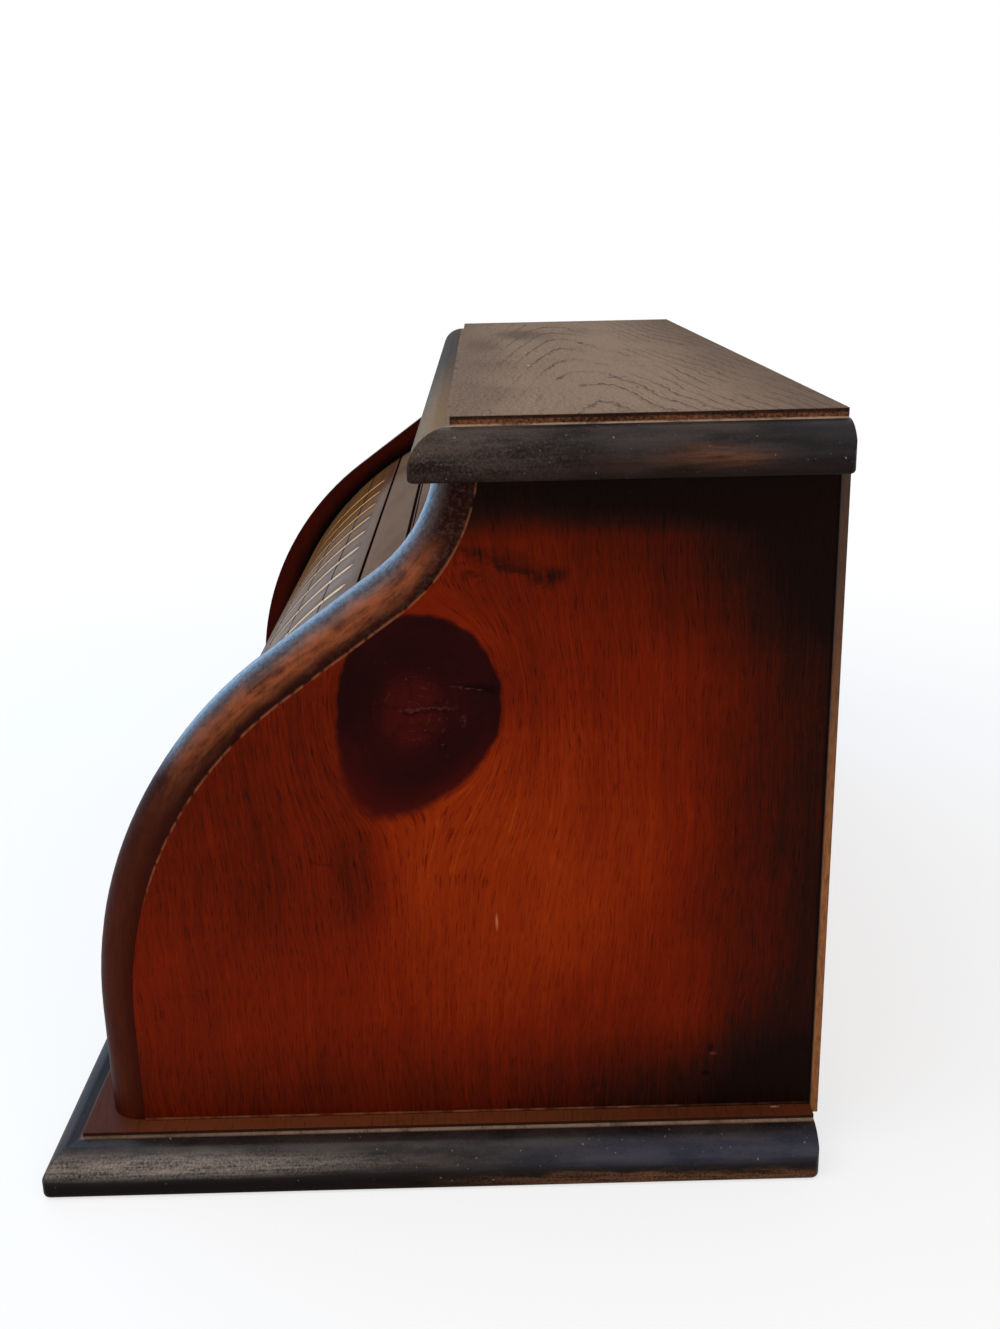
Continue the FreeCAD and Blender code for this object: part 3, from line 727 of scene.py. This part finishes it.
def roundedBlock(low, high, corner, arris):
    middle = [(a + b) / 2 for a, b in zip(low, high)]
    bpy.ops.mesh.primitive_cube_add(size=1.0, location=middle, scale=[b - a for a, b in zip(low, high)])
    block = bpy.context.object
    choose(block)
    bpy.ops.object.transform_apply(location=True, rotation=True, scale=True)

    def heights(edge):
        return [block.data.vertices[n].co.z for n in edge.vertices]

    def isUpright(edge):
        return abs(heights(edge)[0] - heights(edge)[1]) > 0.01

    def isBelow(edge):
        return max(heights(edge)) < low[2] + touching

    for wanted, width, steps in ((isUpright, corner, 6), (isBelow, arris, 5)):
        pick(block, "EDGE", block.data.edges, wanted)
        bpy.ops.mesh.bevel(offset=width, segments=steps, affect="EDGES")
        setMode("OBJECT")
    return block


def squareFoot(piece, flat):  # fills out the flat ease along the underside, which is rounded instead
    reach = max(vertex.co.x for vertex in piece.data.vertices)
    front = min(vertex.co.y for vertex in piece.data.vertices)
    inReach = flat + 10 * touching

    def atEnds(vertex):
        return vertex.co.z < 10 * touching and reach - abs(vertex.co.x) < inReach

    def atFront(vertex):
        return vertex.co.z < 10 * touching and vertex.co.y - front < inReach

    pick(piece, "VERT", piece.data.vertices, atEnds)
    bpy.ops.transform.resize(value=(reach / (reach - flat), 1.0, 1.0), center_override=(0.0, 0.0, 0.0))
    pick(piece, "VERT", piece.data.vertices, atFront)
    bpy.ops.transform.translate(value=(0.0, -flat, 0.0))
    setMode("OBJECT")


def easedBoard(name, ease):
    block = roundedBlock(ease["low"], ease["high"], ease["corner"], ease["arris"])
    piece = copyOf(name, "eased_" + name)
    if ease["flat"]:
        squareFoot(piece, ease["flat"])
    carve(piece, block, "INTERSECT")
    bpy.data.objects.remove(block, do_unlink=True)
    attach(piece, "box")
    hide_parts(name)
    coat(piece, boardFinish(name + "Wood", ease["board"], ease["dusting"]))


for name in ("top_cap", "base_board"):
    easedBoard(name, easing[name])
print("cap and base finished")


# tambour: slats with upright flutes cut across them, cream in the cuts
flutes = {
    "ring": 0.168,  # metres from the track's axis to the slats' outer face
    "cutRadius": 0.0046,
    "cutRise": 0.0024,
    "pitch": 0.036,
    "perSide": 4,
    "lowAngle": 166.8,
    "highAngle": 125.2,
    "steps": 40,
    "corners": 14,
    "nose": ((0.45, 0.86), (0.35, 0.7), (0.17, 0.45)),  # each step's length in radii, and what it narrows to
    "names": ["slat_0%d" % n for n in range(3, 10)],
}
trackAxis = (track["y"] / 1000, track["z"] / 1000)


def ringSpot(radius, degrees, x=0.0):
    turn = math.radians(degrees)
    return (x, trackAxis[0] + radius * math.cos(turn), trackAxis[1] + radius * math.sin(turn))


def roundEnd(cutter, degrees, heading):  # draws the flat end near that angle out into a blunt nose
    flat = [face for face in cutter.data.polygons if len(face.vertices) == flutes["corners"]]
    end = Vector(ringSpot(flutes["ring"] + flutes["cutRise"], degrees, flat[0].center.x))
    nearest = min(flat, key=lambda face: (face.center - end).length).index
    pick(cutter, "FACE", cutter.data.polygons, lambda face: face.index == nearest)
    turn = math.radians(degrees)
    for share, squeeze in flutes["nose"]:
        push = heading * flutes["cutRadius"] * share
        step = (0.0, -push * math.sin(turn), push * math.cos(turn))
        bpy.ops.mesh.extrude_region_move(TRANSFORM_OT_translate={"value": step})
        bpy.ops.transform.resize(value=(squeeze, squeeze, squeeze))
    setMode("OBJECT")


def fluteCutter(x):  # a round bar bent about the track's axis
    low, high = flutes["lowAngle"], flutes["highAngle"]
    bpy.ops.mesh.primitive_circle_add(
        vertices=flutes["corners"], radius=flutes["cutRadius"], fill_type="NGON",
        location=ringSpot(flutes["ring"] + flutes["cutRise"], low, x), rotation=(math.radians(low), 0.0, 0.0))
    cutter = bpy.context.object
    choose(cutter)
    bpy.ops.object.transform_apply(location=True, rotation=True, scale=True)
    openAll(cutter)
    bpy.ops.mesh.spin(
        steps=flutes["steps"], angle=math.radians(low - high), center=(x, *trackAxis), axis=(1.0, 0.0, 0.0))
    setMode("OBJECT")
    roundEnd(cutter, high, -1.0)
    roundEnd(cutter, low, 1.0)
    openAll(cutter)
    bpy.ops.mesh.remove_doubles(threshold=2 * touching)
    bpy.ops.mesh.normals_make_consistent(inside=False)
    setMode("OBJECT")
    return cutter


cutters = [fluteCutter(flutes["pitch"] * n) for n in range(-flutes["perSide"], flutes["perSide"] + 1)]
clearSelection()
for cutter in cutters:
    cutter.select_set(True)
bpy.context.view_layer.objects.active = cutters[0]
bpy.ops.object.join()
allCutters = bpy.context.object
for name in flutes["names"]:
    piece = copyOf(name, "fluted_" + name)
    carve(piece, allCutters, "DIFFERENCE")
    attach(piece, bodyOf[name])
    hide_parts(name)
    print(name, "fluted:", len(piece.data.polygons), "faces")
bpy.data.objects.remove(allCutters, do_unlink=True)


slat = {
    "pitchAngle": 6.9915,  # degrees round the track from slat to slat
    "firstAngle": 184.245,
    "perDegree": 2.93,  # millimetres along the outer face
    "wideGaps": (121.32, 114.33),
    "face": 167.9,
    "cutFloor": 167.1,
    "inside": 161.0,
    "varnish": 0.2,
    "woods": [(0.0, "1c0d08"), (0.3, "3a1f14"), (0.55, "5a3825"), (0.8, "765036"), (1.0, "8e6a4e")],
    "tones": {
        "tanned": "6a5240", "paintedGlare": "86807e", "farSideShade": "5c3d1a", "grime": "3c2a1e", "toasted": "5e380c",
        "creamEdge": "b89a74", "cream": "ddd2c0", "amber": "be8a50", "creamStain": "8c6c44", "gap": "120805",
        "inside": "8a6844", "shadowNearTrack": "0a0504",
    },
}


def slatGrain(f, x, y, z):  # each strip between two joints has its own figure
    g = SimpleNamespace(x=x)
    offY, offZ = y - track["y"], z - track["z"]
    g.radius = f.length(offY, offZ)
    angle = f.bearing(offY, offZ) * (180 / math.pi)
    g.angle = f.choose(angle < -90.0, angle, angle + 360.0)
    g.along = (slat["firstAngle"] - g.angle) / slat["pitchAngle"]
    g.arc = g.angle * slat["perDegree"]
    strip = g.along.floor()
    g.fine = f.noise(x * 0.028, g.arc * 0.95, strip * 7.3, 5.0, 0.62)
    g.silky = f.noise(x * 0.008, g.arc * 0.25, strip * 3.1, 3.0)
    g.own = f.sway(strip * 5.7, 3.0, 1.0, 0.0)
    g.pores = f.fade(f.noise(x * 0.12, g.arc * 2.2, g.radius, 1.0), 0.62, 0.73)
    return g


def slatFinish(name, dusting):
    tones = slat["tones"]
    f = Finish(name)
    g = slatGrain(f, *f.place())
    x, angle, radius, fine = g.x, g.angle, g.radius, g.fine
    shade = 0.5 + (fine - 0.5) * 0.4 + (g.silky - 0.5) * 0.4 + g.own * 0.3 - g.pores * 0.14
    colour = f.ramp(shade, slat["woods"])
    tanned = f.fade(angle, 122.5, 120.0)
    colour = f.paint(tanned * 0.7, colour, tones["tanned"])
    # painted reflection: the near slats greyed as by glare
    colour = f.paint(f.fade(x, -120.0, 130.0) * f.fade(angle, 121.0, 126.0) * 0.42, colour, tones["paintedGlare"])
    # painted shade: the far side darker and warmer, where no glare falls
    farSideShade = f.fade(x + (g.silky - 0.5) * 90.0, 60.0, -130.0) * f.fade(angle, 122.0, 127.0)
    farSideShade = farSideShade * f.fade(angle, 170.0, 138.0, 0.2, 1.0)
    colour = f.paint(farSideShade * 0.5, colour, tones["farSideShade"])
    grime = f.fade(f.noise(x * 0.02, g.arc * 0.06, 5.0, 3.0), 0.4, 0.7)
    colour = f.paint(grime * dusting, colour, tones["grime"])

    # the flutes: cream paint in the cuts, the wood beside them toasted
    pitch = flutes["pitch"] * 1000
    across = abs(((x / pitch + 0.5).fraction() - 0.5) * pitch)
    inRun = f.fade(angle, flutes["lowAngle"] + 1.4, flutes["lowAngle"] + 0.6)
    inRun = inRun * f.fade(angle, flutes["highAngle"] - 1.8, flutes["highAngle"] - 1.0)
    inRun = inRun * (abs(x) < pitch * (flutes["perSide"] + 0.5))
    ragged = f.sway(x * 0.25, g.arc * 0.12, 3.0, 3.0) * 9.0
    toasted = f.fade(across + ragged, 17.0, 5.0) * inRun
    colour = f.paint(toasted * f.fade(x, 60.0, -60.0, 0.12, 0.4), colour, tones["toasted"])
    cut = f.fade(radius, 167.86, 167.6) * (across < 4.4) * inRun
    cream = f.paint(f.fade(radius, slat["face"], slat["cutFloor"]), tones["creamEdge"], tones["cream"])
    # painted glare: the cream is whiter on the near flutes and turns amber towards the far side
    cream = f.paint(f.fade(x, 70.0, -110.0) * 0.8, cream, tones["amber"])
    cream = f.paint(f.fade(fine, 0.52, 0.8) * 0.4, cream, tones["creamStain"])
    colour = f.paint(cut, colour, cream)

    # dark joints between the slats, pale inner face, painted shadow and grime, near black, where they run
    # near the track
    joint = f.near(g.along.fraction() - 0.5, 0.468, 0.49) * (1.0 - cut) * 0.85
    below, above = [f.near(angle - gap, 0.42, 0.2) for gap in slat["wideGaps"]]
    joint = (joint + (below + above)).atMost(1.0)
    colour = f.paint(joint, colour, tones["gap"])
    inside = f.fade(radius, slat["inside"], slat["inside"] - 0.6)
    colour = f.paint(inside * 0.5, colour, tones["inside"])
    # painted shadow and grime: the slat ends go near black beside the track
    shadowNearTrack = f.fade(abs(x) + (g.silky - 0.5) * 6.0, 194.0, 204.0)
    colour = f.paint(shadowNearTrack * 0.85, colour, tones["shadowNearTrack"])
    roughness = 0.42 + (fine - 0.5) * 0.14 + cut * 0.3 + tanned * 0.12
    height = (fine - 0.5) * 0.35 - g.pores * 0.4 - joint * 0.5
    varnish = (1.0 - cut) * (1.0 - inside) * (1.0 - tanned * 0.5) * (1.0 - joint)
    varnish = varnish * (1.0 - (toasted * 0.4 + farSideShade * 0.5).atMost(0.85))
    varnish = varnish * f.fade(fine, 0.2, 0.6, 0.8, 1.0) * slat["varnish"]
    return f.surface(
        colour, roughness, height, 0.00008, Specular_IOR_Level=0.0, Coat_Weight=varnish, Coat_Roughness=0.13)


slatWood = slatFinish("slatWood", 0.35)
for name in flutes["names"]:
    coat(bpy.data.objects["fluted_" + name], slatWood)
wear(slatWood, "slat_01", "slat_02", "slat_10", "slat_11", "lift_rail")
print("tambour finished")


# hidden wood, ply, canvas, turned knob and metal
insideWoods = {  # the dark and the light of each wood, and the axis its grain follows
    "trackWood": ("2a120a", "54301c", "y"),
    "innerBackWood": ("3a1a0c", "70441f", "x"),
    "headerWood": ("241009", "4c2614", "x"),
}
grainStretch = {"x": (0.02, 0.5, 0.5), "y": (0.5, 0.02, 0.5), "z": (0.5, 0.5, 0.02)}
ply = {
    "front": 140.0,
    "veneer": 0.602,
    "endFace": 221.3,
    "light": "b07a40",
    "dark": "6e3c18",
    "crossed": "5a2e14",
    "stain": "4a2412",
    "cutDark": "52290e",
    "cutLight": "864e1e",
    "cutTonerAndShadow": "1e1109",
    "cutLineShadow": "1c0c05",
}
canvas = {
    "ring": 159.5,
    "thread": 0.8,
    "shadow": "8a7858",
    "cloth": "cbbd9c",
    "soil": "7c6444",
}
metals = {"screwSteel": ("a8a49c", "6c6862"), "nailSteel": ("8c8880", "54504a")}
rustTone = "4a3324"


def insideFinish(name):
    dark, light, grainAlong = insideWoods[name]
    f = Finish(name)
    place = f.place()

    def stretched(scale):
        return [axis * (stretch * scale) for axis, stretch in zip(place, grainStretch[grainAlong])]

    fine = f.noise(*stretched(2), 5.0, 0.62)
    wide = f.noise(*stretched(0.3), 3.0)
    bands = abs((fine * 0.4 + wide * 6.0).fraction() - 0.5)
    pores = f.fade(f.noise(*stretched(5), 1.0), 0.62, 0.74)
    colour = f.paint(f.fade(fine * 0.6 + bands * 0.7, 0.2, 0.75), dark, light)
    colour = f.paint(pores * 0.4, colour, dark)
    height = (fine - 0.5) * 0.5 - pores * 0.5
    return f.surface(colour, 0.5 + (fine - 0.5) * 0.2, height, 0.0002, Specular_IOR_Level=0.3)


def plyFinish(name):  # five veneers, face grain upright
    f = Finish(name)
    x, y, z = f.place()
    layer = ((y - ply["front"]) / ply["veneer"]).floor()
    crossed = layer.remainder(2.0)
    upright = f.noise(x * 0.9, z * 0.02, layer, 4.0, 0.6)
    level = f.noise(x * 0.02, z * 0.9, layer, 4.0, 0.6)
    fibre = f.choose(crossed, upright, level)
    wide = f.noise(x * 0.035, z * 0.004, 2.0, 3.0)
    colour = f.paint(f.fade(fibre * 0.6 + wide * 0.6, 0.3, 0.85), ply["dark"], ply["light"])
    colour = f.paint(crossed * 0.35, colour, ply["crossed"])
    stain = f.fade(abs(x) + (wide - 0.5) * 16.0, 212.0, 221.0) + f.fade(z + wide * 14.0, 248.0, 256.0)
    colour = f.paint(stain.atMost(1.0) * 0.4, colour, ply["stain"])
    cutEnd = f.fade(abs(x), ply["endFace"], ply["endFace"] + 0.5)
    mottled = f.fade(f.noise(z * 0.16, y * 0.8, 5.0, 4.0, 0.65), 0.34, 0.62)
    colour = f.paint(cutEnd * 0.85, colour, f.paint(mottled, ply["cutDark"], ply["cutLight"]))
    # toner and painted shadow: the cut edge darkens towards the top under the cap
    colour = f.paint(cutEnd * f.fade(z + mottled * 16.0, 120.0, 250.0) * 0.85, colour, ply["cutTonerAndShadow"])
    # painted shadow: a dark line on the cut edge beside the panel
    colour = f.paint(cutEnd * f.fade(y, ply["front"] + 0.6, ply["front"] + 0.2) * 0.8, colour, ply["cutLineShadow"])
    return f.surface(colour, 0.55 + (fibre - 0.5) * 0.2, (fibre - 0.5) * 0.6, 0.0002, Specular_IOR_Level=0.25)


def canvasFinish(name):
    f = Finish(name)
    x, y, z = f.place()
    arc = f.bearing(y - track["y"], z - track["z"]) * canvas["ring"]
    turnPer = math.pi / canvas["thread"]
    weave = (x * turnPer).sine() * (arc * turnPer).sine() * 0.5 + 0.5
    slub = f.noise(x * 0.3, arc * 1.2, 3.0, 4.0, 0.6)
    soil = f.noise(x * 0.02, arc * 0.02, 8.0, 3.0)
    colour = f.paint(f.fade(weave + slub * 0.6, 0.4, 1.4), canvas["shadow"], canvas["cloth"])
    colour = f.paint(f.fade(soil, 0.45, 0.75) * 0.5, colour, canvas["soil"])
    return f.surface(colour, 0.85 + (slub - 0.5) * 0.1, weave + slub * 0.5, 0.00025, Specular_IOR_Level=0.15)


def knobFinish(name):
    f = Finish(name)
    x, y, z = f.place()
    fine = f.noise(x * 0.06, y * 0.9, z * 0.9, 5.0, 0.6)
    bands = f.noise(x * 0.02, y * 0.25, z * 0.25, 2.0)
    worn = f.fade(y, -124.0, -127.8)
    colour = f.ramp(0.35 + (fine - 0.5) * 0.5 + (bands - 0.5) * 0.4 + worn * 0.25, panel["woods"])
    return f.surface(colour, 0.3 + (fine - 0.5) * 0.15, fine, 0.0001, Specular_IOR_Level=0.4)


def metalFinish(name):
    bright, dull = metals[name]
    f = Finish(name)
    x, y, z = f.place()
    brushed = f.noise(x * 1.6, y * 1.6, z * 1.6, 4.0, 0.65)
    spots = f.fade(f.noise(x * 0.5, y * 0.5, z * 0.5, 3.0), 0.5, 0.7)
    colour = f.paint(brushed, dull, bright)
    colour = f.paint(spots * 0.5, colour, rustTone)
    return f.surface(colour, 0.36 + spots * 0.25 + (brushed - 0.5) * 0.2, brushed, 0.00005, Metallic=0.9)


trackWood = insideFinish("trackWood")
wear(trackWood, "track_board_right", "track_board_left", "cap_cleat_right", "cap_cleat_left")
wear(insideFinish("innerBackWood"), "inner_back")
wear(insideFinish("headerWood"), "header_rail")
wear(plyFinish("plyBack"), "back_panel")
wear(canvasFinish("canvasCloth"), "canvas_main", "canvas_07", "canvas_08", "canvas_09", "canvas_10")
wear(knobFinish("knobWood"), "knob")
wear(metalFinish("screwSteel"), "base_screws", "cleat_screws", "track_screws", "knob_screw")
wear(metalFinish("nailSteel"), "back_nails")
print("inner parts finished")


# floor, light and camera
room = {
    "floorReach": 6.0,
    "floorDrop": 0.0002,  # so that the floor doesn't share a plane with the base
    "floorTone": "f4f4f4",
    "whiteShare": 0.66,
    "shadowReach": 0.36,
    "shadowEnd": 2.2,  # times shadowReach, where the floor is plain white
    "worldTone": "f0f4fa",
    "worldLevel": 0.62,
    "white": "ffffff",
}
lamps = {
    "softbox": {"at": (0.5, -0.7, 1.9), "size": 1.8, "power": 22.0, "tone": "ffffff"},
    "sideFill": {"at": (1.9, 0.5, 0.9), "size": 1.6, "power": 10.0, "tone": "fff6ea"},
    "windowSide": {"at": (-1.1, -1.15, 0.62), "size": 1.5, "power": 18.0, "tone": "58b4f4"},
}
lampTarget = (0.0, 0.0, 0.12)
view = {
    "at": (0.67185, 0.02554, 0.32991),
    "turn": (72.8539, 1.1669, 89.2196),
    "lens": 50.797,
    "sensor": 36.0,
}


def seenWhite(add):  # how far a ray shows the plain white ground
    share = add("ShaderNodeLightPath", output="Is Camera Ray")
    rays = share.socket.node.outputs
    for kind in ("Is Glossy Ray", "Is Transmission Ray"):
        share = share + Wire(share.finish, rays[kind])
    return share.atMost(1.0)


def layFloor():
    clearSelection()
    bpy.ops.mesh.primitive_circle_add(
        vertices=96, radius=room["floorReach"], fill_type="NGON", location=(0.0, 0.0, -room["floorDrop"]))
    floor = bpy.context.object
    floor.name = "floor"
    ground = Finish("paleFloor")
    matt = ground.add("ShaderNodeBsdfDiffuse", {}, {"Color": room["floorTone"]})
    white = ground.add("ShaderNodeEmission", {}, {"Color": room["white"], "Strength": 1.0})
    spot = ground.add("ShaderNodeTexCoord", output="Object")
    far = ground.add("ShaderNodeVectorMath", {"operation": "LENGTH"}, {0: spot}, "Value")
    shadow = room["shadowReach"]
    share = ground.fade(far, shadow, shadow * room["shadowEnd"], room["whiteShare"], 1.0)
    mixed = ground.add("ShaderNodeMixShader", {}, {0: seenWhite(ground.add) * share, 1: matt, 2: white})
    ground.add("ShaderNodeOutputMaterial", {}, {"Surface": mixed})
    floor.data.materials.append(ground.material)


def paintSky():
    world = bpy.data.worlds.new("plainStudio")
    bpy.context.scene.world = world
    world.use_nodes = True
    sky = Finish.__new__(Finish)
    sky.tree = world.node_tree
    sky.tree.nodes.clear()
    soft = sky.add("ShaderNodeBackground", {}, {"Color": room["worldTone"], "Strength": room["worldLevel"]})
    plain = sky.add("ShaderNodeBackground", {}, {"Color": room["white"], "Strength": 1.0})
    both = sky.add("ShaderNodeMixShader", {}, {0: seenWhite(sky.add), 1: soft, 2: plain})
    sky.add("ShaderNodeOutputWorld", {}, {"Surface": both})


def hangLamp(name, lamp):
    light = bpy.data.lights.new(name, "AREA")
    light.size = lamp["size"]
    light.energy = lamp["power"]
    light.color = tone(lamp["tone"])[:3]
    holder = newObject(name, light)
    holder.location = lamp["at"]
    holder.rotation_euler = (Vector(lampTarget) - Vector(lamp["at"])).to_track_quat("-Z", "Y").to_euler()
    holder.visible_camera = False


def setCamera():
    eye = bpy.data.cameras.new("camera")
    eye.sensor_fit = "HORIZONTAL"
    eye.sensor_width = view["sensor"]
    eye.lens = view["lens"]
    camera = newObject("camera", eye)
    camera.location = view["at"]
    camera.rotation_euler = [math.radians(a) for a in view["turn"]]
    bpy.context.scene.camera = camera


layFloor()
paintSky()
for name, lamp in lamps.items():
    hangLamp(name, lamp)
setCamera()
bpy.context.scene.view_settings.view_transform = "Standard"
print("floor, light and camera placed")
